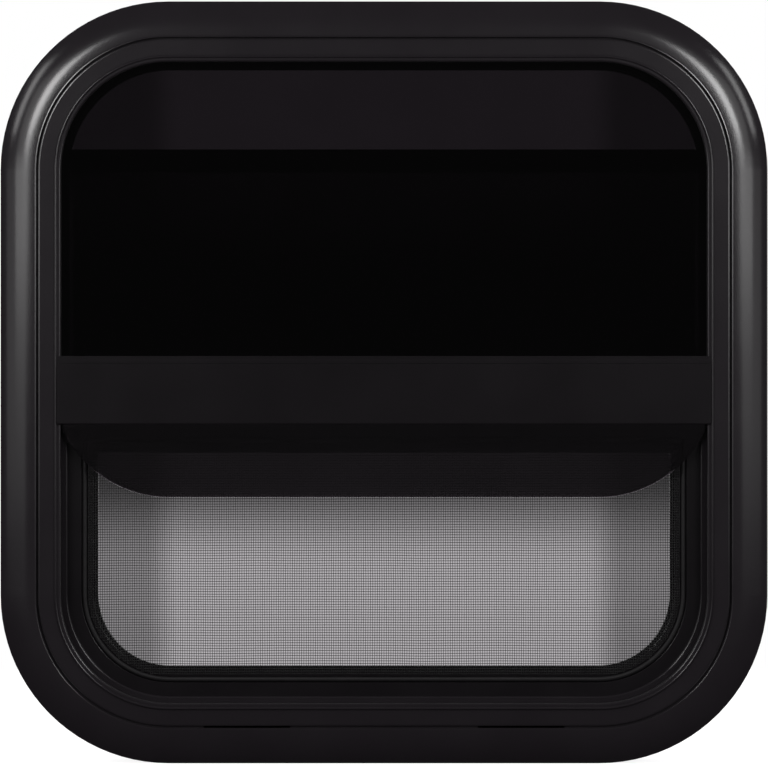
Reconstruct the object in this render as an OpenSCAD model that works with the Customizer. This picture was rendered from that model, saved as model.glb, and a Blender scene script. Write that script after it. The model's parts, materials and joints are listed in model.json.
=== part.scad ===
/* [Overall] */
// Width over the outer flange
width = 470; // [420:1:700]
// Height over the outer flange
height = 467; // [400:1:700]
// Corner radius of the outer flange
corner_radius = 103; // [90:1:120]
// Thickness of the caravan wall between flange and clamp ring
wall_thickness = 30; // [28:1:45]

/* [Frame section] */
// Wall thickness of the aluminium extrusion
metal = 2; // [1.5:0.1:2.5]
// Width of the rounded outer bead
bead_width = 22; // [18:1:26]
// Height of the bead's crown above the caravan wall
bead_crown = 7.5; // [6.5:0.5:10]
// Distance from the outer edge to the bead's crown
bead_peak = 20; // [16:0.1:20.5]
// Height of the bead's outer edge
bead_edge = 1.5; // [1:0.1:2.5]
// Width of the groove between bead and band
groove_width = 1.3; // [1:0.1:2]
// Height of the groove's floor above the caravan wall
groove_floor = 3.8; // [1.8:0.1:4.2]
// Width of the flat band from the groove to the ridge
band_width = 9.9; // [8:0.1:14]
// Height of the flat band above the caravan wall
band_height = 5.5; // [5:0.1:6]
// Rounding of the groove's two edges
groove_round = 0.8; // [0.5:0.1:1]
// Radius of the small ridge inside the band
ridge_radius = 0.8; // [0.5:0.1:1]
// Width of the lip from the ridge to the glass
lip_width = 2.3; // [2:0.1:4]
// How far the stop behind the sash stands inside the lip
stop_reveal = 3; // [2:0.5:8]
// Width of the screw boss
boss_width = 7.5; // [7:0.5:9]
// Depth of the screw boss
boss_depth = 8; // [6:0.5:10]

/* [Glass] */
// Thickness of each pane
glass = 4; // [3:0.5:5]
// Thickness of the gasket between lip and fixed pane
gasket = 1; // [0.8:0.1:2]
// How far the closed sash's top stands above the meeting rail's middle
sash_overlap = 15.4; // [8:0.1:18]
// How far the raised sash's top stands above the centres of the corners
sash_in_corner = 11.2; // [-60:0.1:12]
// Radius of the sash's upper corners
sash_top_radius = 12; // [8:1:20]

/* [Meeting rail] */
// Height of the meeting rail
rail_height = 41.9; // [38:0.1:50]
// Height of the rail's middle above the window's middle
rail_middle = -4.9; // [-12:0.1:4]
// Height of the stepped ridge along the rail's top
rail_step = 5; // [4:0.1:7]
// Thickness of the rail's face and flanges
rail_metal = 1.6; // [1.2:0.1:1.8]

/* [Screen] */
// Width of the screen's frame bar
screen_bar = 21.2; // [18:0.1:26]
// Thickness of the screen's frame bar
screen_depth = 7; // [6:0.5:9]
// Width of the bar from its spline groove to the opening
screen_ledge = 6.4; // [5:0.1:8]
// Width of the lower nose at the bar's inner edge
screen_nose = 2.8; // [2:0.1:4]
// Diameter of the spline cord
spline_d = 3.6; // [2.8:0.1:4]
// Thickness of the woven mesh
mesh_thickness = 0.3; // [0.2:0.05:0.5]
// Openings across the coarse grid that stands for the weave
mesh_columns = 12; // [4:1:12]
// Openings up the grid
mesh_rows = 5; // [2:1:6]
// Width of the grid's bars
mesh_bar = 2.4; // [1:0.1:4]
// Distance from the rail's middle down to the screen's top edge
screen_drop = 17.5; // [12:0.1:19]

/* [Clamp ring] */
// Thickness of the clamp ring
ring_metal = 2; // [1.5:0.1:3]
// Distance from the flange's edge to the clamp ring's edge
ring_inset = 3; // [0:0.5:8]
// Screws along each straight side
screws_per_side = 3; // [2:1:4]

/* [Hidden] */
$fn = 96;

black_metal = [0.07, 0.07, 0.08];
black_rubber = [0.03, 0.03, 0.03];
black_plastic = [0.05, 0.05, 0.05];
steel = [0.62, 0.62, 0.64];
smoked_glass = [0.08, 0.08, 0.09, 0.6];

// Clearances
seat_gap = 0.2;
slide_gap = 0.5;
sash_side_gap = 1;
pane_side_gap = 2.5;
screen_side_gap = 2.5;
pin_gap = 0.1;
// How far a cut runs past the face that it goes through
past = 1;

// Distances in from the outer edge, across the frame's section
groove_end = bead_width + groove_width;
ridge_line = groove_end + band_width + ridge_radius;
lip_edge = ridge_line + ridge_radius + lip_width;
spigot_setback = 2.2;
spigot_out = groove_end + spigot_setback;
spigot_in = spigot_out + metal;
channel_out = spigot_in + seat_gap;
channel_base = 1.8;
channel_in = channel_out + channel_base;
channel_setback = 1;
channel_edge = lip_edge - channel_setback;
pane_edge = spigot_in + pane_side_gap;
sash_edge = channel_in + sash_side_gap;
stop_edge = lip_edge + stop_reveal;
boss_edge = spigot_in + boss_width;
screen_edge = boss_edge + screen_side_gap;
mesh_edge = screen_edge + screen_bar;

// Heights above the caravan wall's outer face, negative towards the inside
lip_back = band_height - metal;
pane_front = lip_back - gasket;
pane_back = pane_front - glass;
channel_front = pane_back - seat_gap;
channel_front_leg = 2.5;
sash_front = channel_front - channel_front_leg - slide_gap;
sash_back = sash_front - glass;
channel_back_leg = 1.1;
channel_back = sash_back - slide_gap - channel_back_leg;
stop_front = channel_back - seat_gap;
stop_back = stop_front - metal;
screen_front = stop_back - seat_gap;
screen_back = screen_front - screen_depth;
clip_thickness = 2.4;
clip_back = screen_back - seat_gap - clip_thickness;
clip_setback = 1.6;
spigot_end = clip_back - clip_setback;
ring_seat = spigot_end - seat_gap;
ring_web_back = ring_seat - ring_metal;
ring_flange_front = -wall_thickness;
ring_flange_back = ring_flange_front - ring_metal;

// Places up and down the window
rail_top = rail_middle + rail_height / 2;
rail_bottom = rail_middle - rail_height / 2;
pocket_depth = 15.8;
pocket_floor_top = rail_top - pocket_depth;
setting_block = 1.5;
pane_bottom = pocket_floor_top + setting_block;
stop_pad = 1.8;
sash_closed = channel_in + stop_pad + seat_gap - height / 2;
sash_height = rail_middle + sash_overlap - sash_closed;
sash_top = height / 2 - corner_radius + sash_in_corner;
sash_bottom = sash_top - sash_height;
sash_corner = corner_radius - sash_edge;
screen_top = rail_middle - screen_drop;
screen_bottom = -height / 2 + screen_edge;
screen_top_radius = 6;
screen_corner_least = 1;

// Draws the window lying down, outside face up, and stands it on its edge
module stand() rotate([90, 0, 0]) children();

// A flat shape with its own radius at the lower and at the upper corners
module plate(half_w, bottom, top, low_r, top_r) {
    translate([-half_w, bottom + low_r]) square([2 * half_w, top - top_r - bottom - low_r]);
    translate([low_r - half_w, bottom]) square([2 * (half_w - low_r), low_r]);
    translate([top_r - half_w, top - top_r]) square([2 * (half_w - top_r), top_r]);
    for (side = [-1, 1]) {
        translate([side * (half_w - low_r), bottom + low_r]) circle(low_r);
        translate([side * (half_w - top_r), top - top_r]) circle(top_r);
    }
}

// A solid layer of a flat shape between two heights
module layer(from, to) translate([0, 0, from]) linear_extrude(to - from) children();

// Runs a section around the window: sides and corners count from the left one and lower left one
module frame_ring(sides = [0, 1, 2, 3], corners = [0, 1, 2, 3]) {
    for (k = sides) {
        reach = k % 2 == 0 ? width / 2 : height / 2;
        run = (k % 2 == 0 ? height : width) - 2 * corner_radius;
        rotate([0, 0, 90 * k])
            translate([-reach, 0, 0])
                rotate([90, 0, 0]) linear_extrude(run, center = true) children();
    }
    for (k = corners) {
        turn_x = (k == 0 || k == 3 ? -1 : 1) * (width / 2 - corner_radius);
        turn_y = (k < 2 ? -1 : 1) * (height / 2 - corner_radius);
        translate([turn_x, turn_y, 0])
            rotate([0, 0, 180 + 90 * k])
                rotate_extrude(angle = 90) translate([corner_radius, 0]) mirror([1, 0]) children();
    }
}

// One rectangle of a section, from one distance and height to another
module bar(a0, h0, a1, h1) translate([a0, h0]) square([a1 - a0, h1 - h0]);

// A box between two corners
module block(low, high) translate(low) cube(high - low);

bead_rise = bead_crown - bead_edge;
bead_r = (bead_peak * bead_peak + bead_rise * bead_rise) / (2 * bead_rise);
bead_round_a = bead_width - groove_round;
bead_round_h = bead_crown - bead_r
    + sqrt(pow(bead_r - groove_round, 2) - pow(bead_round_a - bead_peak, 2));
bead_arc_end = bead_peak + (bead_round_a - bead_peak) * bead_r / (bead_r - groove_round);

module bead_arc(inset) translate([bead_peak, bead_crown - bead_r]) circle(bead_r - inset);

module frame_section() {
    difference() {
        union() {
            intersection() {
                bead_arc(0);
                bar(0, 0, bead_arc_end, bead_crown);
            }
            translate([bead_round_a, bead_round_h]) circle(groove_round);
            bar(bead_round_a - groove_round, 0, bead_width, bead_round_h);
        }
        intersection() {
            bead_arc(metal);
            bar(metal, -past, bead_width - metal, bead_crown);
        }
    }
    bar(bead_width - metal, 0, groove_end + metal, groove_floor);
    bar(groove_end, 0, spigot_out, band_height - groove_round);
    translate([groove_end + groove_round, band_height - groove_round]) circle(groove_round);
    bar(groove_end + groove_round, lip_back, lip_edge - metal / 2, band_height);
    translate([lip_edge - metal / 2, band_height - metal / 2]) circle(metal / 2);
    translate([ridge_line, band_height + ridge_radius / 2]) circle(ridge_radius);
    bar(ridge_line - ridge_radius, lip_back, ridge_line + ridge_radius, band_height + ridge_radius / 2);
    bar(spigot_out, spigot_end, spigot_in, band_height);
    bar(spigot_out, stop_back, stop_edge - metal / 2, stop_front);
    translate([stop_edge - metal / 2, stop_back + metal / 2]) circle(metal / 2);
    bar(spigot_out, spigot_end, boss_edge, spigot_end + boss_depth);
}

weep_length = 53;
weep_middle = 84;
weep_height = 2;
weep_line = bead_width + groove_width / 2;

module weep_cuts() {
    for (side = [-1, 1]) {
        y = -height / 2 + weep_line;
        x = side * weep_middle;
        block([x - weep_length / 2, y - weep_height / 2, -past],
              [x + weep_length / 2, y + weep_height / 2, groove_floor + past]);
        block([x - weep_length / 2, -height / 2 + spigot_out - past, sash_back],
              [x + weep_length / 2, -height / 2 + spigot_in + past, sash_front]);
    }
}

screw_r = 1.95;
screw_hole_r = screw_r + pin_gap;
screw_head_r = 3.9;
screw_head = 2.2;
screw_line = spigot_in + boss_width / 2;
screw_end = 2;
screw_bite = boss_depth - screw_end;
screw_span = 220;

// Repeats its children at each clamp screw, with their own axis pointing outwards
module at_clamp_screws() {
    for (k = [0:3]) {
        reach = (k % 2 == 0 ? width / 2 : height / 2) - screw_line;
        for (n = [0:screws_per_side - 1]) {
            along = screw_span * (n / (screws_per_side - 1) - 0.5);
            rotate([0, 0, 90 * k]) translate([-reach, along, 0]) children();
        }
        turn_x = (k == 0 || k == 3 ? -1 : 1) * (width / 2 - corner_radius);
        turn_y = (k < 2 ? -1 : 1) * (height / 2 - corner_radius);
        translate([turn_x, turn_y, 0])
            rotate([0, 0, 225 + 90 * k]) translate([corner_radius - screw_line, 0, 0]) children();
    }
}

anchor_length = 22;
anchor_low = rail_bottom + rail_metal + seat_gap;
anchor_high = pocket_floor_top - rail_metal - seat_gap;
anchor_middle = (anchor_low + anchor_high) / 2;
anchor_front = lip_back - seat_gap;
anchor_back = channel_front + 2 * seat_gap;
anchor_screw_line = ridge_line - ridge_radius - seat_gap;
anchor_screw_apart = 12;
anchor_screw_r = 1.5;
anchor_head_r = 2.9;
anchor_head = 1.4;
anchor_bite = 1.6;

// Repeats its children at each anchor screw, from the anchor's back towards the lip
module at_anchor_screws() {
    for (side = [-1, 1], end = [-1, 1]) {
        translate([side * (width / 2 - anchor_screw_line),
                   anchor_middle + end * anchor_screw_apart / 2, anchor_back]) children();
    }
}

// A countersunk screw from the anchor's back into the lip, grown by a gap for its hole
module anchor_screw(gap) {
    cylinder(h = lip_back + anchor_bite - anchor_back - pin_gap + gap, r = anchor_screw_r + gap);
    cylinder(h = anchor_head, r1 = anchor_head_r + gap, r2 = anchor_screw_r + gap);
}

module outer_frame() {
    color(black_metal) stand() difference() {
        frame_ring() frame_section();
        weep_cuts();
        at_clamp_screws()
            translate([0, 0, spigot_end - past]) cylinder(h = screw_bite + past, r = screw_hole_r);
        at_anchor_screws() anchor_screw(pin_gap);
    }
}

seal_depth = 3;

module flange_seal() {
    color(black_rubber) stand() frame_ring() intersection() {
        bead_arc(metal + seat_gap);
        bar(metal + seat_gap, 0, bead_width - metal - seat_gap, seal_depth);
    }
}

joiner_half = 30;
joiner_thickness = 1;
joiner_margin = 3;

module frame_joiner() {
    color(black_metal) stand() block(
        [-joiner_half, height / 2 - spigot_out + pin_gap, spigot_end + joiner_margin],
        [joiner_half, height / 2 - spigot_out + pin_gap + joiner_thickness, -joiner_margin]);
}

rail_half = width / 2 - ridge_line - ridge_radius - seat_gap;
rail_core_half = width / 2 - lip_edge - slide_gap;
rail_sash_gap = 1.6;
rail_back = sash_front + rail_sash_gap;
rail_face_back = band_height + seat_gap;
rail_face = rail_face_back + rail_metal;
rail_round = 1;
step_line = rail_top - rail_step;
step_groove = 0.6;
step_drop = 0.4;
step_low = rail_face - 3 * step_drop;
step_middle = (step_line + step_groove + rail_top) / 2;
pile_holder = 10;

// The rail's section, from its height in the window and its height above the wall
module rail_section() {
    translate([rail_bottom + rail_round, rail_face - rail_round]) circle(rail_round);
    bar(rail_bottom + rail_round, rail_face_back, step_line, rail_face);
    bar(step_line - rail_metal, rail_face_back, rail_top, step_low);
    bar(step_line + step_groove, rail_face_back, step_middle, rail_face - step_drop);
    bar(step_line + step_groove, rail_face_back, rail_top, rail_face - 2 * step_drop);
    bar(pocket_floor_top, pane_front + seat_gap, rail_top, step_low);
    bar(pocket_floor_top - rail_metal, rail_back, pocket_floor_top, rail_face - rail_metal / 2);
    bar(pocket_floor_top - rail_metal, rail_back, rail_top - rail_metal, pane_back - seat_gap);
    bar(rail_bottom, rail_back, rail_bottom + rail_metal, rail_face - rail_round);
    bar(rail_bottom, rail_back, rail_bottom + pile_holder, rail_back + rail_metal);
}

module along_width(half) rotate([90, 0, 90]) linear_extrude(2 * half, center = true) children();

module meeting_rail() {
    color(black_metal) stand() difference() {
        along_width(rail_half) rail_section();
        for (side = [0, 1]) {
            mirror([side, 0, 0]) block(
                [rail_core_half, -height, -wall_thickness], [width, height, rail_face_back]);
        }
    }
}

module rail_anchor(side) {
    outer = width / 2 - spigot_in - seat_gap;
    inner = outer - anchor_length;
    color(black_plastic) stand() difference() {
        block([side > 0 ? inner : -outer, anchor_low, anchor_back],
              [side > 0 ? outer : -inner, anchor_high, anchor_front]);
        at_anchor_screws() anchor_screw(pin_gap);
    }
}

module rail_anchor_left() rail_anchor(-1);

module rail_anchor_right() rail_anchor(1);

module rail_screws() {
    color(steel) stand() at_anchor_screws() anchor_screw(0);
}

module rail_pile() {
    color(black_rubber) stand() block(
        [-rail_core_half, rail_bottom + rail_metal, sash_front + seat_gap],
        [rail_core_half, rail_bottom + pile_holder - rail_metal, rail_back]);
}

module fixed_pane() {
    corner = corner_radius - pane_edge;
    color(smoked_glass) stand() layer(pane_back, pane_front) intersection() {
        plate(width / 2 - pane_edge, pane_edge - height / 2, height / 2 - pane_edge, corner, corner);
        translate([-width / 2, pane_bottom]) square([width, height]);
    }
}

module fixed_pane_gasket() {
    color(black_rubber) stand() intersection() {
        frame_ring([0, 2, 3], [2, 3]) bar(
            spigot_in + seat_gap, pane_front, lip_edge + seat_gap, lip_back);
        block([-width, rail_top + seat_gap, -wall_thickness], [width, height, wall_thickness]);
    }
}

block_half = 8;
block_place = 150;

module setting_blocks() {
    color([0.75, 0.75, 0.72]) stand() for (side = [-1, 1]) {
        block([side * block_place - block_half, pocket_floor_top, pane_back],
              [side * block_place + block_half, pane_bottom, pane_front]);
    }
}

module sash_pane() {
    color(smoked_glass) stand() layer(sash_back, sash_front)
        plate(width / 2 - sash_edge, sash_bottom, sash_top, sash_corner, sash_top_radius);
}

// The soft channel that holds the sash's edge
module channel_section() {
    bar(channel_out, channel_back, channel_in, channel_front);
    bar(channel_in, channel_front - channel_front_leg, channel_edge, channel_front);
    bar(channel_in, channel_back, channel_edge, channel_back + channel_back_leg);
}

module run_channel_left() {
    color(black_rubber) stand() frame_ring([0], []) channel_section();
}

module run_channel_right() {
    color(black_rubber) stand() frame_ring([2], []) channel_section();
}

module run_channel_bottom() {
    color(black_rubber) stand() difference() {
        frame_ring([1], [0, 1]) channel_section();
        weep_cuts();
    }
}

module run_channel_top() {
    color(black_rubber) stand() frame_ring([3], [2, 3]) channel_section();
}

stop_half = 15;
stop_place = 20;

module sash_stops() {
    color(black_rubber) stand() for (side = [-1, 1]) {
        block([side * stop_place - stop_half, channel_in - height / 2, sash_back],
              [side * stop_place + stop_half, sash_closed - seat_gap, sash_front]);
    }
}

sash_rail_height = 14;
sash_rail_leg = 1.2;
sash_rail_half = width / 2 - stop_edge - sash_side_gap;
sash_rail_front = sash_front + pin_gap + sash_rail_leg;
sash_rail_back = sash_back - pin_gap - sash_rail_leg;
sash_rail_top = sash_top + pin_gap + sash_rail_leg;
sash_rail_bottom = sash_rail_top - sash_rail_height;

module sash_top_rail() {
    color(black_metal) stand() along_width(sash_rail_half) {
        bar(sash_rail_bottom, sash_front + pin_gap, sash_rail_top, sash_rail_front);
        bar(sash_rail_bottom, sash_rail_back, sash_rail_top, sash_back - pin_gap);
        bar(sash_top + pin_gap, sash_rail_back, sash_rail_top, sash_rail_front);
    }
}

pull_half = 60;
pull_reach = 11;
pull_metal = 2;
pull_curl = 5;

module sash_pull() {
    front = sash_rail_back - pin_gap;
    color(black_metal) stand() along_width(pull_half) {
        bar(sash_rail_bottom, front - pull_metal, sash_rail_top, front);
        bar(sash_rail_top - pull_metal, front - pull_reach, sash_rail_top, front);
        bar(sash_rail_top - pull_curl, front - pull_reach, sash_rail_top, front - pull_reach + pull_metal);
    }
}

latch_length = 26;
latch_depth = 9;
latch_pin_r = 1.4;
latch_pin_past = 3;
latch_pin_h = stop_back - latch_pin_r - 3 * pin_gap;
latch_knob_r = 4;
latch_knob = 3;
sash_latch_middle = (sash_rail_bottom + sash_rail_top) / 2;
strip_out = boss_edge + seat_gap;
strip_thickness = 1.5;
strip_depth = 6.5;

module sash_latch(side) {
    outer = sash_rail_half;
    front = sash_rail_back - pin_gap;
    tip = width / 2 - boss_edge + latch_pin_past;
    color(black_plastic) stand() mirror([side > 0 ? 0 : 1, 0, 0]) {
        block([outer - latch_length, sash_rail_bottom, front - latch_depth], [outer, sash_rail_top, front]);
        translate([outer, sash_latch_middle, latch_pin_h])
            rotate([0, 90, 0]) cylinder(h = tip - outer, r = latch_pin_r);
        translate([outer - latch_length / 2, sash_latch_middle, front - latch_depth - latch_knob])
            cylinder(h = latch_knob, r = latch_knob_r);
    }
}

module sash_latch_left() sash_latch(-1);

module sash_latch_right() sash_latch(1);

strip_end = 6;
strip_low = screen_top + strip_end;
strip_high = sash_latch_middle + strip_end;
strip_hole_r = latch_pin_r + slide_gap;
strip_holes = 6;
strip_pitch = 25;

module latch_strip(side) {
    outer = width / 2 - strip_out;
    color(steel) stand() mirror([side > 0 ? 0 : 1, 0, 0]) difference() {
        block([outer - strip_thickness, strip_low, stop_back - seat_gap - strip_depth],
              [outer, strip_high, stop_back - seat_gap]);
        for (n = [0:strip_holes - 1]) {
            translate([outer + past, sash_latch_middle - n * strip_pitch, latch_pin_h])
                rotate([0, -90, 0]) cylinder(h = strip_thickness + 2 * past, r = strip_hole_r);
        }
    }
}

module latch_strip_left() latch_strip(-1);

module latch_strip_right() latch_strip(1);

screen_half = width / 2 - screen_edge;
screen_corner = corner_radius - screen_edge;
ledge_drop = 1.2;
nose_drop = 1.4;
groove_depth = 4.4;
spline_in = screen_bar - screen_ledge;
spline_out = spline_in - spline_d - 2 * pin_gap;

// The screen's outline, a distance in from its outer edge
module screen_outline(inset) {
    plate(screen_half - inset, screen_bottom + inset, screen_top - inset,
          screen_corner - inset, max(screen_top_radius - inset, screen_corner_least));
}

module screen_frame() {
    color(black_metal) stand() difference() {
        layer(screen_back, screen_front) screen_outline(0);
        layer(screen_back - past, screen_front + past) screen_outline(screen_bar);
        layer(screen_front - ledge_drop, screen_front + past) screen_outline(spline_out);
        layer(screen_front - ledge_drop - nose_drop, screen_front + past)
            screen_outline(screen_bar - screen_nose);
        layer(screen_front - groove_depth, screen_front + past) difference() {
            screen_outline(spline_out);
            screen_outline(spline_in);
        }
    }
}

spline_line = (spline_out + spline_in) / 2;
spline_h = screen_front - groove_depth + pin_gap + spline_d / 2;

module screen_spline() {
    side = screen_half - spline_line;
    low = screen_bottom + spline_line;
    high = screen_top - spline_line;
    turn = screen_corner - spline_line;
    color(black_rubber) stand() translate([0, 0, spline_h]) {
        for (half = [-1, 1]) {
            translate([half * side, low + turn]) rotate([-90, 0, 0])
                cylinder(h = high - low - turn, d = spline_d);
            translate([half * side, high]) sphere(d = spline_d);
            translate([half * (side - turn), low + turn])
                rotate([0, 0, half < 0 ? 180 : 270]) rotate_extrude(angle = 90)
                    translate([turn, 0]) circle(d = spline_d);
        }
        translate([turn - side, low]) rotate([0, 90, 0]) cylinder(h = 2 * (side - turn), d = spline_d);
        translate([-side, high]) rotate([0, 90, 0]) cylinder(h = 2 * side, d = spline_d);
    }
}

// The weave as one thin sheet with a coarse grid of openings over the part that shows
module screen_mesh() {
    across = 2 * (screen_half - screen_bar) / mesh_columns;
    up = (screen_top - screen_bottom - 2 * screen_bar) / mesh_rows;
    color([0.12, 0.12, 0.12]) stand() difference() {
        layer(screen_front - ledge_drop, screen_front - ledge_drop + mesh_thickness)
            screen_outline(spline_in - pin_gap);
        layer(screen_back, screen_front) intersection() {
            screen_outline(screen_bar);
            for (column = [0:mesh_columns - 1], row = [0:mesh_rows - 1]) {
                translate([(column - mesh_columns / 2) * across + mesh_bar / 2,
                           screen_bottom + screen_bar + row * up + mesh_bar / 2])
                    square([across - mesh_bar, up - mesh_bar]);
            }
        }
    }
}

tab_place = 95;
tab_half = 11;
tab_height = 12;
tab_thickness = 1.6;
tab_lip = 4;
tab_top = screen_top - seat_gap;

module screen_tabs() {
    color(black_plastic) stand() for (side = [-1, 1]) {
        back = screen_back - pin_gap;
        block([side * tab_place - tab_half, screen_top - tab_height, back - tab_thickness],
              [side * tab_place + tab_half, tab_top, back]);
        block([side * tab_place - tab_half, tab_top - tab_thickness, back - tab_lip],
              [side * tab_place + tab_half, tab_top, back - tab_thickness]);
    }
}

clip_half = 8;
clip_reach = 5.5;
clip_place = 90;
clip_side = 100;

// One clip, on the side that counts from the left, at a distance along that side
module screen_clip(side, along) {
    reach = side % 2 == 0 ? width / 2 : height / 2;
    rotate([0, 0, 90 * side])
        translate([-reach, 0, 0]) block(
            [boss_edge + pin_gap, along - clip_half, clip_back],
            [screen_edge + clip_reach, along + clip_half, screen_back - seat_gap]);
}

module screen_clips() {
    color(black_plastic) stand() {
        screen_clip(0, -clip_side);
        screen_clip(2, clip_side);
        screen_clip(1, -clip_place);
        screen_clip(1, clip_place);
    }
}

ring_setback = 0.5;
ring_leg_out = spigot_out - ring_setback;
ring_lip_depth = 3;
ring_chamfer = 1.5;

module clamp_ring() {
    color(black_metal) stand() difference() {
        frame_ring() {
            bar(ring_inset + ring_chamfer, ring_flange_back, ring_leg_out + ring_metal, ring_flange_front);
            bar(ring_inset, ring_flange_back + ring_metal / 2, ring_inset + ring_chamfer, ring_flange_front);
            bar(ring_leg_out, ring_flange_back, ring_leg_out + ring_metal, ring_seat);
            bar(ring_leg_out, ring_web_back, stop_edge, ring_seat);
            bar(stop_edge - ring_metal, ring_web_back - ring_lip_depth, stop_edge, ring_seat);
        }
        at_clamp_screws()
            translate([0, 0, ring_web_back - past])
                cylinder(h = ring_metal + 2 * past, r = screw_hole_r + pin_gap);
    }
}

module clamp_screws() {
    color(steel) stand() at_clamp_screws() {
        translate([0, 0, ring_web_back - pin_gap])
            cylinder(h = ring_metal + seat_gap + screw_bite - pin_gap, r = screw_r);
        translate([0, 0, ring_web_back - pin_gap - screw_head]) cylinder(h = screw_head, r = screw_head_r);
    }
}

outer_frame();
flange_seal();
frame_joiner();
meeting_rail();
rail_anchor_left();
rail_anchor_right();
rail_screws();
rail_pile();
fixed_pane();
fixed_pane_gasket();
setting_blocks();
sash_pane();
run_channel_left();
run_channel_right();
run_channel_bottom();
run_channel_top();
sash_stops();
sash_top_rail();
sash_pull();
sash_latch_left();
sash_latch_right();
latch_strip_left();
latch_strip_right();
screen_frame();
screen_spline();
screen_mesh();
screen_tabs();
screen_clips();
clamp_ring();
clamp_screws();
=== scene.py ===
import json
import math

import bmesh
import bpy
from mathutils import Matrix, Vector

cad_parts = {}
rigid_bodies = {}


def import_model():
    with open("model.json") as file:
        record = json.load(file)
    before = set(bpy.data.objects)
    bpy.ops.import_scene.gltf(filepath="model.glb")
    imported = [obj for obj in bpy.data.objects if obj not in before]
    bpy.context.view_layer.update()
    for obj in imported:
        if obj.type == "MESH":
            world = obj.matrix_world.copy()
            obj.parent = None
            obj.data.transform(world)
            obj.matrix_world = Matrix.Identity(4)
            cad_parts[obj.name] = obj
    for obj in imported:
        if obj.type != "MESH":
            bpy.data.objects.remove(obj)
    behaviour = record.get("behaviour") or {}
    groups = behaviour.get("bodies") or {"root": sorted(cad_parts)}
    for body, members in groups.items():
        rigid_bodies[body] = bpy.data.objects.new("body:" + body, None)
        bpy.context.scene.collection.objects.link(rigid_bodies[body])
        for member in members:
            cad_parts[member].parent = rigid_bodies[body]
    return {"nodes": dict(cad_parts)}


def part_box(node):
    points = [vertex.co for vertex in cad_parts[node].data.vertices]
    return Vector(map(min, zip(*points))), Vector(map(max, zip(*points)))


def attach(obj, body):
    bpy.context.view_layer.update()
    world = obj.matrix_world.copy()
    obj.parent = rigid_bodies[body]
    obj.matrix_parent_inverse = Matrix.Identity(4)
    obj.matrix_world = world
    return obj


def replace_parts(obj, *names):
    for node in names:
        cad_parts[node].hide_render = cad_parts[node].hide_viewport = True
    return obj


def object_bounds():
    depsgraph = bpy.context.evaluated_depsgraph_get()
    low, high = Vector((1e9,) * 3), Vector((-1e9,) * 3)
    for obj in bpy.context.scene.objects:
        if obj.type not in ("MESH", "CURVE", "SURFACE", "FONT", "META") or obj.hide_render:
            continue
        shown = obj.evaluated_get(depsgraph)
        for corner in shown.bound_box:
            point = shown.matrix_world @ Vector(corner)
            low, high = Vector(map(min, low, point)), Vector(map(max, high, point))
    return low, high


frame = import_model()
cad_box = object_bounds()

# The camera stands straight in front of the window, as in the photograph, at the distance
# from which the screen's finer scale behind the front of the frame comes out right.
view_height = 0.0002
front_y = cad_box[0][1]
photo_width = 0.4696
camera_distance = 2.454
sensor = 36.0

camera_data = bpy.data.cameras.new("camera")
camera_data.sensor_width = sensor
camera_data.lens = sensor * camera_distance / photo_width
camera = bpy.data.objects.new("camera", camera_data)
camera.location = (0.0, front_y - camera_distance, view_height)
camera.rotation_euler = (math.pi / 2, 0.0, 0.0)
bpy.context.scene.collection.objects.link(camera)
bpy.context.scene.camera = camera


# The frame is an aluminium extrusion bent round the window and finished in satin black powder
# coat, which has a fine orange-peel skin and is rubbed a little paler along its edges.
coat_dark = (0.0115, 0.0096, 0.0115, 1)
coat_pale = (0.0130, 0.0110, 0.0130, 1)
coat_rubbed = (0.018, 0.0165, 0.018, 1)
coat_gloss = (0.165, 0.18)
coat_cloud = 0.035
coat_peel = 0.0011
coat_peel_depth = 0.000016
coat_edge = 0.0006


class Nodes:
    """The nodes and links of one tree, with the steps that all the trees share."""

    def __init__(self, tree):
        self.nodes, self.links = tree.nodes, tree.links

    def feed(self, socket, value):
        """Links a node's output into a socket, or sets the socket to a plain value."""
        if isinstance(value, bpy.types.NodeSocket):
            self.links.new(value, socket)
        else:
            socket.default_value = value

    def math(self, operation, *values):
        node = self.nodes.new("ShaderNodeMath")
        node.operation = operation
        for socket, value in zip(node.inputs, values):
            self.feed(socket, value)
        return node.outputs["Value"]

    def range(self, source, low, high, start=0.3, end=0.7, curve="LINEAR"):
        """Carries a source that runs from start to end over to a run from low to high."""
        node = self.nodes.new("ShaderNodeMapRange")
        node.interpolation_type = curve
        limits = (("From Min", start), ("From Max", end), ("To Min", low), ("To Max", high))
        for key, value in limits:
            node.inputs[key].default_value = value
        self.links.new(source, node.inputs["Value"])
        return node.outputs["Result"]

    def mix(self, amount, first, second, kind="RGBA"):
        """Goes from the first value to the second as the amount goes from 0 to 1."""
        node = self.nodes.new("ShaderNodeMix")
        node.data_type = kind
        first_port, second_port, result = {"RGBA": (6, 7, 2), "FLOAT": (2, 3, 0)}[kind]
        self.links.new(amount, node.inputs[0])
        self.feed(node.inputs[first_port], first)
        self.feed(node.inputs[second_port], second)
        return node.outputs[result]


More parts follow.
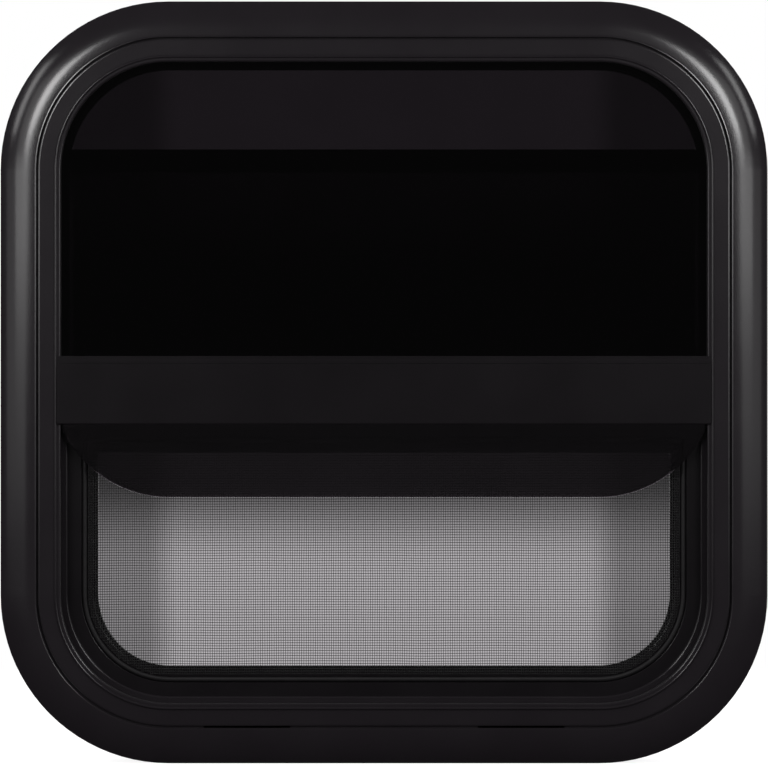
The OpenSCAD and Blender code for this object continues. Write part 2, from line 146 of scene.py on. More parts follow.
class Finish(Nodes):
    """A material on the object's own coordinates, and the steps that it is mixed from."""

    def __init__(self, name, metallic=0.0, shine=0.5):
        self.material = bpy.data.materials.new(name)
        self.material.use_nodes = True
        super().__init__(self.material.node_tree)
        self.shader = self.nodes["Principled BSDF"]
        self.set("Metallic", metallic)
        self.set("Specular IOR Level", shine)
        self.place = self.nodes.new("ShaderNodeTexCoord").outputs["Object"]

    def set(self, socket, value):
        self.feed(self.shader.inputs[socket], value)

    def noise(self, size, detail=2.0, stretch=(1.0, 1.0, 1.0)):
        mapping = self.nodes.new("ShaderNodeMapping")
        mapping.inputs["Scale"].default_value = stretch
        texture = self.nodes.new("ShaderNodeTexNoise")
        texture.inputs["Scale"].default_value = 1 / size
        texture.inputs["Detail"].default_value = detail
        self.links.new(self.place, mapping.inputs["Vector"])
        self.links.new(mapping.outputs["Vector"], texture.inputs["Vector"])
        return texture.outputs["Fac"]

    def edges(self, radius):
        """How far the surface turns within a radius: 0 on a face and towards 1 at an edge."""
        bevel = self.nodes.new("ShaderNodeBevel")
        bevel.inputs["Radius"].default_value = radius
        geometry = self.nodes.new("ShaderNodeNewGeometry")
        turn = self.nodes.new("ShaderNodeVectorMath")
        turn.operation = "DOT_PRODUCT"
        self.links.new(bevel.outputs["Normal"], turn.inputs[0])
        self.links.new(geometry.outputs["Normal"], turn.inputs[1])
        return self.range(turn.outputs["Value"], 1.0, 0.0, 0.7, 0.99)

    def cloud(self, dark, pale, size, detail=3.0):
        """Lets the colour drift between two tones."""
        drift = self.range(self.noise(size, detail), 0, 1)
        self.set("Base Color", self.mix(drift, dark, pale))

    def sheen(self, low, high, size, detail=2.0, stretch=(1.0, 1.0, 1.0)):
        """Lets the roughness drift between two values."""
        self.set("Roughness", self.range(self.noise(size, detail, stretch), low, high))

    def relief(self, size, depth, detail=2.0):
        """Covers the surface with fine bumps."""
        height = self.noise(size, detail)
        bump = self.nodes.new("ShaderNodeBump")
        bump.inputs["Distance"].default_value = depth
        self.links.new(height, bump.inputs["Height"])
        self.set("Normal", bump.outputs["Normal"])


def dress(finish, *nodes):
    """Gives CAD nodes their finish and leaves their shape alone."""
    for node in nodes:
        mesh = frame["nodes"][node].data
        mesh.materials.clear()
        mesh.materials.append(finish.material)


def powder(name, dark, pale, cloud_size):
    """Powder coat with a slow cloud in its colour and gloss, rubbed edges and a fine skin."""
    coat = Finish(name)
    cloud = coat.noise(cloud_size, 4.0)
    rub = coat.math("MULTIPLY", coat.edges(coat_edge), coat.noise(cloud_size / 3, 4.0))
    clouded = coat.mix(coat.range(cloud, 0, 1), dark, pale)
    coat.set("Base Color", coat.mix(rub, clouded, coat_rubbed))
    coat.set("Roughness", coat.range(cloud, *coat_gloss))
    coat.relief(coat_peel, coat_peel_depth)
    return coat


powder_coat = powder("powder_coat", coat_dark, coat_pale, coat_cloud)
dress(powder_coat, "outer_frame")


# Two fine lips of the same extrusion run all round on either side of the groove, and a small
# round ridge inside the band. The lips lean outwards and catch the light as a double line.
frame_corner = 0.103
corner_steps = 32
lip_crease = 30
bead_lip = (
    (0.02145, 0.00735), (0.02180, 0.00741), (0.02215, 0.00745), (0.02222, 0.0062),
    (0.02150, 0.0066))
band_lip = (
    (0.02335, 0.00534), (0.02365, 0.00543), (0.02400, 0.00550), (0.02430, 0.00554),
    (0.02432, 0.0050), (0.02345, 0.0048))
ridge_line = (0.0340, 0.0059)
ridge_radius = 0.00085
ridge_arc = range(-30, 211, 24)


def round_the_frame(shape, section):
    """Sweeps a closed section of (distance in from the edge, height above the wall) round."""
    low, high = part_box("outer_frame")
    stations = []
    for quarter in range(4):
        for step in range(corner_steps + 1):
            turn = math.pi / 2 * (quarter + step / corner_steps)
            centre_x = (high.x - frame_corner) * (1 if quarter in (0, 3) else -1)
            centre_z = (high.z - frame_corner) * (1 if quarter in (0, 1) else -1)
            stations.append([
                shape.verts.new((
                    centre_x + (frame_corner - inset) * math.cos(turn), -rise,
                    centre_z + (frame_corner - inset) * math.sin(turn)))
                for inset, rise in section])
    for n, station in enumerate(stations):
        for k in range(len(section)):
            shape.faces.new((
                stations[n - 1][k - 1], stations[n - 1][k], station[k], station[k - 1]))


def add_piece(name, mesh):
    """Links a finished mesh, already in its place, and lets it ride on the window."""
    piece = bpy.data.objects.new(name, mesh)
    mesh.name = name
    bpy.context.scene.collection.objects.link(piece)
    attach(piece, "root")
    return piece


lips = bmesh.new()
round_the_frame(lips, bead_lip)
round_the_frame(lips, band_lip)
round_the_frame(lips, [
    (ridge_line[0] + ridge_radius * math.cos(turn), ridge_line[1] + ridge_radius * math.sin(turn))
    for turn in map(math.radians, ridge_arc)])
bmesh.ops.recalc_face_normals(lips, faces=lips.faces)
for face in lips.faces:
    face.smooth = True
for edge in lips.edges:
    edge.smooth = edge.calc_face_angle() < math.radians(lip_crease)
lip_mesh = bpy.data.meshes.new("fine_lips")
lips.to_mesh(lip_mesh)
lips.free()
lip_mesh.materials.append(powder_coat.material)
add_piece("fine_lips", lip_mesh)


# The flange seal is a bead of butyl pressed into the hollow behind the frame's outer bead,
# matt dark grey and a little lumpy where it was squeezed out of its gun.
butyl = Finish("butyl", shine=0.3)
butyl.cloud((0.006, 0.006, 0.006, 1), (0.014, 0.014, 0.014, 1), 0.006)
butyl.sheen(0.7, 0.9, 0.003)
butyl.relief(0.004, 0.0004, 3.0)
dress(butyl, "flange_seal")


# The joiner is a zinc-plated steel plate across the gap where the bent frame's two ends meet at
# the top, held to each end by two domed rivets. Zinc is bright, faintly blue and cloudy.
joiner_bevel = 0.0003
bevel_steps = 2
bevelled_from = 32
weld_distance = 1e-6
flat_within = 0.1
rivet_radius = 0.0022
rivet_rise = 0.0009
rivet_places = (-0.022, -0.009, 0.009, 0.022)
dome_steps = 5

zinc = Finish("zinc", metallic=1.0)
zinc.cloud((0.42, 0.43, 0.45, 1), (0.62, 0.62, 0.62, 1), 0.004, 4.0)
zinc.sheen(0.26, 0.48, 0.002, 3.0, (1.0, 1.0, 6.0))
zinc.relief(0.0008, 0.00001)


def merged(node):
    """A copy of a CAD node's mesh with its loose triangles joined and its flat faces whole."""
    mesh = frame["nodes"][node].data.copy()
    shape = bmesh.new()
    shape.from_mesh(mesh)
    bmesh.ops.remove_doubles(shape, verts=shape.verts, dist=weld_distance)
    bmesh.ops.dissolve_limit(
        shape, angle_limit=math.radians(flat_within), verts=shape.verts, edges=shape.edges)
    bmesh.ops.recalc_face_normals(shape, faces=shape.faces)
    for attribute in ("custom_normal", "sharp_face", "sharp_edge"):
        if attribute in mesh.attributes:
            mesh.attributes.remove(mesh.attributes[attribute])
    shape.to_mesh(mesh)
    shape.free()
    return mesh


def evaluated_mesh(source):
    """What an object's modifiers make of it, as a plain mesh."""
    depsgraph = bpy.context.evaluated_depsgraph_get()
    return bpy.data.meshes.new_from_object(source.evaluated_get(depsgraph))


def rounded(node, bevel, finish):
    """A copy of a CAD node with its sharp edges rounded, which stands in for the node."""
    source = bpy.data.objects.new(node + "_sharp", merged(node))
    bpy.context.scene.collection.objects.link(source)
    edge = source.modifiers.new("edge", "BEVEL")
    edge.width = bevel
    edge.segments = bevel_steps
    edge.limit_method = "ANGLE"
    edge.angle_limit = math.radians(bevelled_from)
    edge.harden_normals = True
    mesh = evaluated_mesh(source)
    bpy.data.objects.remove(source)
    mesh.materials.clear()
    mesh.materials.append(finish.material)
    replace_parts(add_piece(node + "_made", mesh), node)


class Tree(Nodes):
    """A Geometry Nodes tree that is built by its steps, with named inputs."""

    def __init__(self, name, **inputs):
        self.group = bpy.data.node_groups.new(name, "GeometryNodeTree")
        super().__init__(self.group)
        sockets = self.group.interface
        sockets.new_socket("Geometry", in_out="INPUT", socket_type="NodeSocketGeometry")
        self.ids = {}
        self.values = inputs
        for key, value in inputs.items():
            kind = "NodeSocketInt" if isinstance(value, int) else "NodeSocketFloat"
            self.ids[key] = sockets.new_socket(key, in_out="INPUT", socket_type=kind).identifier
        sockets.new_socket("Geometry", in_out="OUTPUT", socket_type="NodeSocketGeometry")
        self.source = self.nodes.new("NodeGroupInput")
        self.sink = self.nodes.new("NodeGroupOutput")

    def input(self, key):
        return self.source.outputs[key]

    def add(self, kind, settings=None, **inputs):
        """A node with its settings, and its inputs by name or, as _0, by number."""
        node = self.nodes.new(kind)
        for key, value in (settings or {}).items():
            setattr(node, key, value)
        for key, value in inputs.items():
            port = int(key[1:]) if key[0] == "_" else key.replace("_", " ")
            self.feed(node.inputs[port], value)
        return node

    def vector(self, x=0.0, y=0.0, z=0.0):
        return self.add("ShaderNodeCombineXYZ", None, X=x, Y=y, Z=z).outputs[0]

    def split(self, vector):
        return self.add("ShaderNodeSeparateXYZ", None, Vector=vector).outputs

    def lattice(self, across, up):
        """A flat grid of Columns by Rows points, at the pitches of the two named inputs."""
        columns, rows = self.input("Columns"), self.input("Rows")
        return self.add(
            "GeometryNodeMeshGrid", None, Vertices_X=columns, Vertices_Y=rows,
            Size_X=self.math("MULTIPLY", self.math("SUBTRACT", columns, 1), self.input(across)),
            Size_Y=self.math("MULTIPLY", self.math("SUBTRACT", rows, 1), self.input(up))).outputs[0]

    def finish(self, name, geometry, finish, slot, points=()):
        """Makes the tree's result a plain mesh that rides on the window."""
        painted = self.add(
            "GeometryNodeSetMaterial", None, Geometry=geometry, Material=finish.material)
        whole = self.add("GeometryNodeRealizeInstances", None, Geometry=painted.outputs[0])
        self.links.new(whole.outputs[0], self.sink.inputs[0])
        base = bpy.data.meshes.new(name + "_seed")
        base.from_pydata(points, [], [])
        seed = bpy.data.objects.new(name + "_seed", base)
        bpy.context.scene.collection.objects.link(seed)
        modifier = seed.modifiers.new(name, "NODES")
        modifier.node_group = self.group
        for key, value in self.values.items():
            modifier[self.ids[key]] = value
        mesh = evaluated_mesh(seed)
        bpy.data.objects.remove(seed)
        return add_piece(name, mesh)


def turned(name, profile, sides=20):
    """A closed solid of revolution about Y, from (radius, y) points between its two poles."""
    shape = bmesh.new()
    rings = []
    for radius, y in profile:
        if radius == 0:
            rings.append([shape.verts.new((0, y, 0))] * sides)
            continue
        rings.append([
            shape.verts.new((radius * math.cos(turn), y, radius * math.sin(turn)))
            for turn in (2 * math.pi * n / sides for n in range(sides))])
    for low, high in zip(rings, rings[1:]):
        for n in range(sides):
            corners = [low[n], low[n - 1], high[n - 1], high[n]]
            shape.faces.new(list(dict.fromkeys(corners)))
    bmesh.ops.recalc_face_normals(shape, faces=shape.faces)
    mesh = bpy.data.meshes.new(name)
    shape.to_mesh(mesh)
    shape.free()
    return bpy.data.objects.new(name, mesh)


def domed_profile(radius, rise, depth, shank=()):
    """A domed head from its pole down to its foot, and below it a shank of (radius, length)."""
    dome = [(radius * math.sin(turn), rise * math.cos(turn))
            for turn in (math.pi / 2 * n / dome_steps for n in range(dome_steps + 1))]
    below = [(shank[0], -depth), (shank[0], -shank[1])] if shank else []
    foot = -(shank[1] if shank else depth)
    return [(0, rise)] + dome[1:] + [(radius, -depth)] + below + [(0, foot)]


def repeat(name, prototype, points, finish, slot, tilt=0.0, turn=0.0, seed=1):
    """A prototype that faces +Y at each point, tilted about X and turned at random on its axis."""
    tree = Tree(name, Tilt=tilt, Turn=turn, Seed=seed)
    spin = tree.add(
        "FunctionNodeRandomValue", {"data_type": "FLOAT"}, Seed=tree.input("Seed"))
    amount = tree.math("MULTIPLY", spin.outputs[1], tree.input("Turn"))
    own = tree.add("GeometryNodeObjectInfo", None, Object=prototype, As_Instance=True)
    placed = tree.add(
        "GeometryNodeInstanceOnPoints", None, Points=tree.input("Geometry"),
        Instance=own.outputs["Geometry"])
    tilted = tree.add(
        "GeometryNodeRotateInstances", None, Instances=placed.outputs[0],
        Rotation=tree.vector(x=tree.input("Tilt")))
    spun = tree.add(
        "GeometryNodeRotateInstances", None, Instances=tilted.outputs[0],
        Rotation=tree.vector(y=amount))
    piece = tree.finish(name, spun.outputs[0], finish, slot, points)
    bpy.data.objects.remove(prototype)
    return piece


rounded("frame_joiner", joiner_bevel, zinc)
joiner_low, joiner_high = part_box("frame_joiner")
rivet_line = (joiner_low.y + joiner_high.y) / 2
repeat("joiner_rivets", turned("rivet", domed_profile(rivet_radius, rivet_rise, 0.0)),
       [(x, rivet_line, joiner_high.z) for x in rivet_places], zinc, "steel_zinc",
       tilt=math.pi / 2)


# The meeting rail is a straight extrusion across the middle in the same powder coat, screwed at
# each end to a moulded nylon anchor behind the frame's lip.
# Painted shade: the rail's coat is the frame's powder coat at about half its tone.
rail_shaded_dark = (0.0058, 0.0048, 0.0058, 1)
rail_shaded_pale = (0.0072, 0.0060, 0.0072, 1)
rail_cloud = 0.045

dress(powder("rail_shaded_coat", rail_shaded_dark, rail_shaded_pale, rail_cloud), "meeting_rail")
nylon = Finish("nylon", shine=0.4)
nylon.cloud((0.010, 0.009, 0.010, 1), (0.016, 0.0145, 0.016, 1), 0.004)
nylon.sheen(0.45, 0.6, 0.0015)
nylon.relief(0.0005, 0.00002)
dress(nylon, "rail_anchor_left", "rail_anchor_right")
dress(zinc, "rail_screws")


# The pile along the rail's back is a woven strip with thousands of short polypropylene tufts,
# which lie against the sash and keep the draught out.
tuft_pitch = 0.0010
tuft_radius = 0.00030
tuft_tip = 0.3
tuft_lean = 0.35
backing = 0.0004

pile_yarn = Finish("pile_yarn", shine=0.3)
pile_yarn.cloud((0.007, 0.007, 0.007, 1), (0.016, 0.016, 0.016, 1), 0.002)
pile_yarn.sheen(0.7, 0.9, 0.0006)
pile_low, pile_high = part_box("rail_pile")
pile_size = pile_high - pile_low
pile_middle = (pile_low.z + pile_high.z) / 2
tree = Tree(
    "rail_pile_tufts", Columns=int(pile_size.x / tuft_pitch), Rows=int(pile_size.z / tuft_pitch),
    Pitch=tuft_pitch, Height=pile_size.y - backing, Radius=tuft_radius, Lean=tuft_lean, Seed=3)
tuft = tree.add(
    "GeometryNodeMeshCone", None, Vertices=3,
    Radius_Top=tree.math("MULTIPLY", tree.input("Radius"), tuft_tip),
    Radius_Bottom=tree.input("Radius"), Depth=tree.input("Height"))
lean = tree.add(
    "FunctionNodeRandomValue", {"data_type": "FLOAT_VECTOR"}, Seed=tree.input("Seed"),
    _0=(-1.0, -1.0, -3.0), _1=(1.0, 1.0, 3.0))
bent = tree.add(
    "ShaderNodeVectorMath", {"operation": "MULTIPLY"}, _0=lean.outputs[0],
    _1=tree.vector(tree.input("Lean"), tree.input("Lean"), 1.0))
tufts = tree.add(
    "GeometryNodeInstanceOnPoints", None, Points=tree.lattice("Pitch", "Pitch"),
    Instance=tuft.outputs[0], Rotation=bent.outputs[0])
stood = tree.add(
    "GeometryNodeTransform", None, Geometry=tufts.outputs[0], Rotation=(-math.pi / 2, 0.0, 0.0),
    Translation=(0.0, pile_low.y + backing, pile_middle))
strip = tree.add("GeometryNodeMeshCube", None, Size=(pile_size.x, backing, pile_size.z))
strip_placed = tree.add(
    "GeometryNodeTransform", None, Geometry=strip.outputs[0],
    Translation=(0.0, pile_low.y + backing / 2, pile_middle))
joined = tree.add("GeometryNodeJoinGeometry")
tree.links.new(stood.outputs[0], joined.inputs[0])
tree.links.new(strip_placed.outputs[0], joined.inputs[0])
pile = tree.finish("rail_pile_tufts", joined.outputs[0], pile_yarn, "pile_black")
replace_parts(pile, "rail_pile")


# Both panes are 4 mm tempered glass, smoked so dark that a single one passes a hundredth of the
# light, with ground and polished edges, a fine film of dust and the marks of a cloth.
pane_edge = 0.0006
fixed_tint = (0.0095, 0.0079, 0.0095)
dust_share = 1.12
wipe_marks = 0.03


def smoked_glass(name, tint):
    glass = Finish(name)
    glass.cloud((*tint, 1), (*(dust_share * level for level in tint), 1), 0.045, 5.0)
    glass.set("Transmission Weight", 1.0)
    glass.set("IOR", 1.5)
    wiped = glass.noise(0.030, 5.0, (1.0, 1.0, 2.5))
    glass.set("Roughness", glass.range(wiped, 0.0, wipe_marks, 0.4, 0.8))
    return glass


rounded("fixed_pane", pane_edge, smoked_glass("fixed_glass", fixed_tint))


# A flat rubber gasket beds the fixed pane on the frame's lip, and two nylon setting blocks carry
# its weight in the rail's pocket.
block_bevel = 0.0002

rubber = Finish("rubber", shine=0.3)
rubber.cloud((0.0060, 0.0052, 0.0060, 1), (0.0085, 0.0074, 0.0085, 1), 0.010, 4.0)
rubber.sheen(0.5, 0.65, 0.002, 3.0)
rubber.relief(0.0006, 0.00002)
dress(rubber, "fixed_pane_gasket")

pale_nylon = Finish("pale_nylon", shine=0.4)
pale_nylon.cloud((0.55, 0.54, 0.49, 1), (0.66, 0.65, 0.60, 1), 0.003)
pale_nylon.sheen(0.4, 0.55, 0.001)
rounded("setting_blocks", block_bevel, pale_nylon)


# The sash is one frameless pane, smoked less than the fixed one, that slides in soft rubber
# channels round the frame's spigot and comes down on two rubber stops.
sash_tint = (0.075, 0.066, 0.075)
stop_bevel = 0.0003

rounded("sash_pane", pane_edge, smoked_glass("sash_glass", sash_tint))
dress(rubber, "run_channel_left", "run_channel_right", "run_channel_bottom", "run_channel_top")
rounded("sash_stops", stop_bevel, rubber)


# Along the sash's top edge runs a small extruded channel. Its finger pull is held behind its
# middle by two pan-head screws with a cross recess.
channel_bevel = 0.00025
screw_radius = 0.0026
screw_rise = 0.0011
screw_skirt = 0.001
recess_length = 0.0030
recess_width = 0.0007
recess_depth = 0.0007
recess_taper = 0.55
pull_plate = 0.002
pull_screw_height = 0.0045
pull_screw_place = 0.045


def cross_screw(name, radius, rise, depth, recess=1.0, shank=()):
    """A domed screw head that faces +Y with a tapered cross recess, and its shank below."""
    head = turned(name, domed_profile(radius, rise, depth, shank), 24)
    bpy.context.scene.collection.objects.link(head)
    cutters = []
    for turn in (0, math.pi / 2):
        cutter = bpy.data.objects.new(name + "_cutter", bpy.data.meshes.new(name + "_cutter"))
        wedge = bmesh.new()
        bmesh.ops.create_cube(wedge, size=1.0)
        for corner in wedge.verts:
            taper = 1.0 if corner.co.y > 0 else recess_taper
            corner.co.x *= recess_length * recess * taper
            corner.co.y = rise + 0.001 if corner.co.y > 0 else rise - recess_depth * recess
            corner.co.z *= recess_width * recess * taper
        bmesh.ops.rotate(wedge, verts=wedge.verts, matrix=Matrix.Rotation(turn, 3, "Y"))
        wedge.to_mesh(cutter.data)
        wedge.free()
        bpy.context.scene.collection.objects.link(cutter)
        cut = head.modifiers.new("recess", "BOOLEAN")
        cut.object = cutter
        cut.solver = "EXACT"
        cutters.append(cutter)
    mesh = evaluated_mesh(head)
    for used in cutters + [head]:
        bpy.data.objects.remove(used)
    return bpy.data.objects.new(name, mesh)


rounded("sash_top_rail", channel_bevel, powder_coat)
rounded("sash_pull", channel_bevel, powder_coat)
pull_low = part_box("sash_pull")[0]
repeat("pull_screws", cross_screw("pull_screw", screw_radius, screw_rise, screw_skirt),
       [(side * pull_screw_place, pull_low.y + pull_plate, pull_low.z + pull_screw_height)
        for side in (-1, 1)],
       zinc, "steel_zinc", turn=math.pi, seed=5)


# A nylon latch at each end of the channel pushes a pin into a plated strip on the frame. Its
# knob has a knurled rim to grip.
latch_bevel = 0.0005
strip_bevel = 0.0002
knob_place = 0.013
knob_radius = 0.0040
knob_height = 0.003
rib_radius = 0.00035
rib_count = 20

for side, towards_end in (("left", -1), ("right", 1)):
    rounded("sash_latch_" + side, latch_bevel, nylon)
    rounded("latch_strip_" + side, strip_bevel, zinc)
    latch_low, latch_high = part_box("sash_latch_" + side)
    knob_x = (latch_low.x if side == "right" else latch_high.x) + towards_end * knob_place
    knob_z = (latch_low.z + latch_high.z) / 2
    tree = Tree(
        "latch_knurl_" + side, Count=rib_count, Ring=knob_radius, Rib=rib_radius,
        Height=knob_height)
    ring = tree.add(
        "GeometryNodeMeshCircle", None, Vertices=tree.input("Count"), Radius=tree.input("Ring"))
    rib = tree.add(
        "GeometryNodeMeshCylinder", None, Vertices=6, Radius=tree.input("Rib"),
        Depth=tree.input("Height"))
    ribs = tree.add(
        "GeometryNodeInstanceOnPoints", None, Points=ring.outputs[0], Instance=rib.outputs[0])
    turned_ribs = tree.add(
        "GeometryNodeTransform", None, Geometry=ribs.outputs[0], Rotation=(math.pi / 2, 0.0, 0.0),
        Translation=(knob_x, latch_high.y - knob_height / 2, knob_z))
    tree.finish("latch_knurl_" + side, turned_ribs.outputs[0], nylon, "plastic_black")


# The screen's frame is rolled aluminium with a groove, painted satin black. It has two nylon pull
# tabs, and four nylon clips that each turn on a small screw hold it in the window.
# Painted shade: the screen's coat is darker than the frame's, for the shade in its recess.
screen_shaded_dark = (0.0058, 0.0048, 0.0058, 1)
screen_shaded_pale = (0.0070, 0.0059, 0.0070, 1)
bar_bevel = 0.0004
tab_bevel = 0.0003
clip_bevel = 0.0005
clip_head_radius = 0.0019
clip_head_rise = 0.0007
clip_head_skirt = 0.0005
clip_recess = 0.7

screen_shaded_coat = Finish("screen_shaded_coat")
screen_shaded_coat.cloud(screen_shaded_dark, screen_shaded_pale, 0.040, 4.0)
screen_shaded_coat.sheen(0.17, 0.20, 0.020, 4.0)
screen_shaded_coat.relief(0.0009, 0.000012)
rounded("screen_frame", bar_bevel, screen_shaded_coat)
rounded("screen_tabs", tab_bevel, nylon)
rounded("screen_clips", clip_bevel, nylon)


def island_boxes(node):
    """The box of each separate solid in a CAD node, as its lowest and highest corners."""
    shape = bmesh.new()
    shape.from_mesh(frame["nodes"][node].data)
    bmesh.ops.remove_doubles(shape, verts=shape.verts, dist=weld_distance)
    boxes = []
    left = set(shape.verts)
    while left:
        group = [left.pop()]
        for vertex in group:
            for edge in vertex.link_edges:
                other = edge.other_vert(vertex)
                if other in left:
                    left.discard(other)
                    group.append(other)
        places = [vertex.co for vertex in group]
        boxes.append((Vector([min(place[axis] for place in places) for axis in range(3)]),
                      Vector([max(place[axis] for place in places) for axis in range(3)])))
    shape.free()
    return sorted(boxes, key=lambda box: (round(box[0].x, 5), round(box[0].z, 5)))


clip_screw = cross_screw(
    "clip_screw", clip_head_radius, clip_head_rise, clip_head_skirt, clip_recess)
repeat("clip_screws", clip_screw,
       [((low.x + high.x) / 2, high.y, (low.z + high.z) / 2)
        for low, high in island_boxes("screen_clips")],
       zinc, "steel_zinc", turn=math.pi, seed=8)


# A ribbed rubber cord pressed into the groove holds the cloth: it runs once round the screen,
# tight round its lower corners and folded sharply at the upper ones.
cord_ribs = 14
cord_rib = 0.00012
cord_step = 0.004
cord_fold = 0.0006

frame_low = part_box("outer_frame")[0]
cord_low, cord_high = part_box("screen_spline")
cord_radius = (cord_high.y - cord_low.y) / 2
line_low = cord_low + Vector((cord_radius, cord_radius, cord_radius))
line_high = cord_high - Vector((cord_radius, cord_radius, cord_radius))


def corner_inside(x):
    """The radius at a corner of what runs round the window at a distance from its middle."""
    return frame_corner - (x - frame_low.x)


tree = Tree(
    "spline_cord", Width=line_high.x - line_low.x, Height=line_high.z - line_low.z, Step=cord_step,
    Corner=corner_inside(line_low.x), Fold=cord_fold, Radius=cord_radius, Rib=cord_rib,
    Ribs=cord_ribs)
outline = tree.add(
    "GeometryNodeCurvePrimitiveQuadrilateral", None, Width=tree.input("Width"),
    Height=tree.input("Height"))
place = tree.split(tree.add("GeometryNodeInputPosition").outputs[0])
turn_radius = tree.math(
    "MULTIPLY_ADD", tree.math("LESS_THAN", place[1], 0.0),
    tree.math("SUBTRACT", tree.input("Corner"), tree.input("Fold")), tree.input("Fold"))
path = tree.add(
    "GeometryNodeFilletCurve", {"mode": "POLY"}, Curve=outline.outputs[0], Count=24,
    Radius=turn_radius)
even = tree.add(
    "GeometryNodeResampleCurve", {"mode": "LENGTH"}, Curve=path.outputs[0],
    Length=tree.input("Step"))
stood = tree.add(
    "GeometryNodeTransform", None, Geometry=even.outputs[0], Rotation=(math.pi / 2, 0.0, 0.0),
    Translation=(0.0, line_low.y, (line_low.z + line_high.z) / 2))
star = tree.add(
    "GeometryNodeCurvePrimitiveCircle", None,
    Resolution=tree.math("MULTIPLY", tree.input("Ribs"), 2.0),
    Radius=tree.math("SUBTRACT", tree.input("Radius"), tree.input("Rib")))
odd = tree.math("MODULO", tree.add("GeometryNodeInputIndex").outputs[0], 2.0)
swell = tree.math(
    "MULTIPLY_ADD", odd, tree.math("DIVIDE", tree.input("Rib"), tree.input("Radius")), 1.0)
swollen = tree.add(
    "ShaderNodeVectorMath", {"operation": "SCALE"},
    Vector=tree.add("GeometryNodeInputPosition").outputs[0], Scale=swell)
ribbed = tree.add(
    "GeometryNodeSetPosition", None, Geometry=star.outputs[0], Position=swollen.outputs[0])
cord_sweep = tree.add(
    "GeometryNodeCurveToMesh", None, Curve=stood.outputs[0], Profile_Curve=ribbed.outputs[0])
cord = tree.finish("spline_cord", cord_sweep.outputs[0], rubber, "rubber_black")
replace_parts(cord, "screen_spline")


# The screen is plain-woven from black coated glass-fibre yarn, 18 strands an inch across and 16
# up. The coating bonds the strands where they cross, and the spline cord holds the cloth taut.
pitch_across = 0.0254 / 18
pitch_up = 0.0254 / 16
warp_strand = 0.00033
weft_strand = 0.00040
crimp = 0.00007
bow = 0.0010
bow_scale = 18.0
mesh_low, mesh_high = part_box("screen_mesh")
cloth_width = mesh_high.x - mesh_low.x
cloth_height = mesh_high.z - mesh_low.z

yarn = Finish("yarn", shine=0.4)
yarn.cloud((0.006, 0.006, 0.006, 1), (0.012, 0.012, 0.012, 1), 0.003)
yarn.sheen(0.45, 0.6, 0.001)


def weave(name, along_z, strand):
    """One set of the cloth's parallel strands, crimped over and under the other set."""
    tree = Tree(
        name, Columns=int(cloth_width / pitch_across), Rows=int(cloth_height / pitch_up),
        Across=pitch_across, Up=pitch_up, Strand=strand, Crimp=crimp,
        Corner=corner_inside(mesh_low.x), HalfWidth=cloth_width / 2, Low=mesh_low.z,
        High=mesh_high.z, Depth=mesh_high.y - strand / 2 - crimp, Bow=bow)
    ends = tree.add("GeometryNodeInputMeshEdgeVertices")
    axis = 0 if along_z else 1
    step = tree.math("ABSOLUTE", tree.math(
        "SUBTRACT", tree.split(ends.outputs["Position 1"])[axis],
        tree.split(ends.outputs["Position 2"])[axis]))
    lines = tree.add(
        "GeometryNodeDeleteGeometry", {"domain": "EDGE", "mode": "EDGE_FACE"},
        Geometry=tree.lattice("Across", "Up"),
        Selection=tree.math("GREATER_THAN", step, strand / 2))
    here = tree.add("GeometryNodeInputPosition").outputs[0]
    across, up = tree.split(here)[0], tree.split(here)[1]
    count = tree.math("ADD", tree.math("DIVIDE", across, tree.input("Across")),
                      tree.math("DIVIDE", up, tree.input("Up")))
    start = tree.math(
        "MULTIPLY", tree.math("ADD", tree.input("Columns"), tree.input("Rows")), 0.5)
    parity = tree.math("MODULO", tree.math("ROUND", tree.math("ADD", count, start)), 2.0)
    swing = tree.math("MULTIPLY", tree.math("SUBTRACT", parity, 0.5), 2.0 if along_z else -2.0)
    sway = tree.add(
        "ShaderNodeTexNoise", {"noise_dimensions": "3D"}, Vector=here, Scale=bow_scale, Detail=1.0)
    drift = tree.add("FunctionNodeSeparateColor", None, Color=sway.outputs["Color"])
    shift_x, shift_z = (
        tree.math("MULTIPLY", tree.math("SUBTRACT", drift.outputs[n], 0.5), tree.input("Bow"))
        for n in (0, 1))
    centre = tree.math("MULTIPLY", tree.math("ADD", tree.input("Low"), tree.input("High")), 0.5)
    placed = tree.add(
        "GeometryNodeSetPosition", None, Geometry=lines.outputs[0], Position=tree.vector(
            tree.math("ADD", across, shift_x),
            tree.math("MULTIPLY_ADD", swing, tree.input("Crimp"), tree.input("Depth")),
            tree.math("ADD", tree.math("ADD", up, centre), shift_z)))
    there = tree.split(tree.add("GeometryNodeInputPosition").outputs[0])
    limit = tree.math("SUBTRACT", tree.input("HalfWidth"), tree.input("Corner"))
    past_x = tree.math(
        "MAXIMUM", tree.math("SUBTRACT", tree.math("ABSOLUTE", there[0]), limit), 0.0)
    turn_z = tree.math("ADD", tree.input("Low"), tree.input("Corner"))
    past_z = tree.math("MAXIMUM", tree.math("SUBTRACT", turn_z, there[2]), 0.0)
    reach = tree.math("SQRT", tree.math(
        "ADD", tree.math("POWER", past_x, 2.0), tree.math("POWER", past_z, 2.0)))
    kept = tree.add(
        "GeometryNodeDeleteGeometry", {"domain": "POINT", "mode": "ALL"},
        Geometry=placed.outputs[0],
        Selection=tree.math("GREATER_THAN", reach, tree.input("Corner")))
    strands = tree.add("GeometryNodeMeshToCurve", None, Mesh=kept.outputs[0])
    section = tree.add(
        "GeometryNodeCurvePrimitiveCircle", None, Resolution=4,
        Radius=tree.math("MULTIPLY", tree.input("Strand"), 0.5))
    tube = tree.add(
        "GeometryNodeCurveToMesh", None, Curve=strands.outputs[0],
        Profile_Curve=section.outputs[0], Fill_Caps=True)
    piece = tree.finish(name, tube.outputs[0], yarn, "mesh_black")
    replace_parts(piece, "screen_mesh")
    return piece


warp = weave("screen_warp", True, warp_strand)
weft = weave("screen_weft", False, weft_strand)


